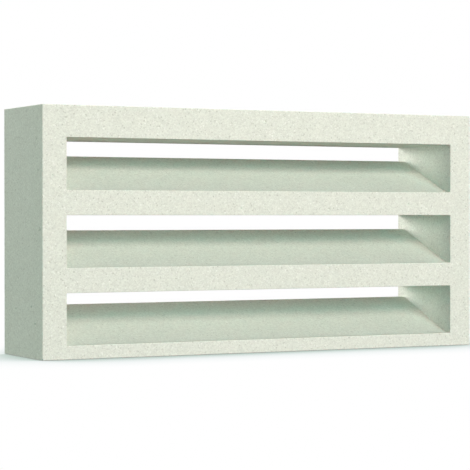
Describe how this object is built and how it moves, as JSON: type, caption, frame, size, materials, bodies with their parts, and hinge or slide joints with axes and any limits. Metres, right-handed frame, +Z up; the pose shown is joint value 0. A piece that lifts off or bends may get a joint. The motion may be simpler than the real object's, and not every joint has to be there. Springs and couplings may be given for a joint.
{
  "type": "decorative screen block",
  "caption": "Oblong louvred screen block cast in pale concrete, with level slots whose floors slope up towards the back, for walls that let light and air through.",
  "frame": {"origin": "the middle of the bottom bed face", "axes": "+X along the length, +Y from the front face (the wide mouths of the slots) to the back face, +Z up"},
  "size_m": [0.4, 0.085, 0.2],
  "materials": {
    "cast_concrete": "fine-grained off-white cast concrete, matt, with a faint dark and light speckle"
  },
  "bodies": {
    "root": {"screen_block": "cast_concrete"}
  },
  "joints": []
}
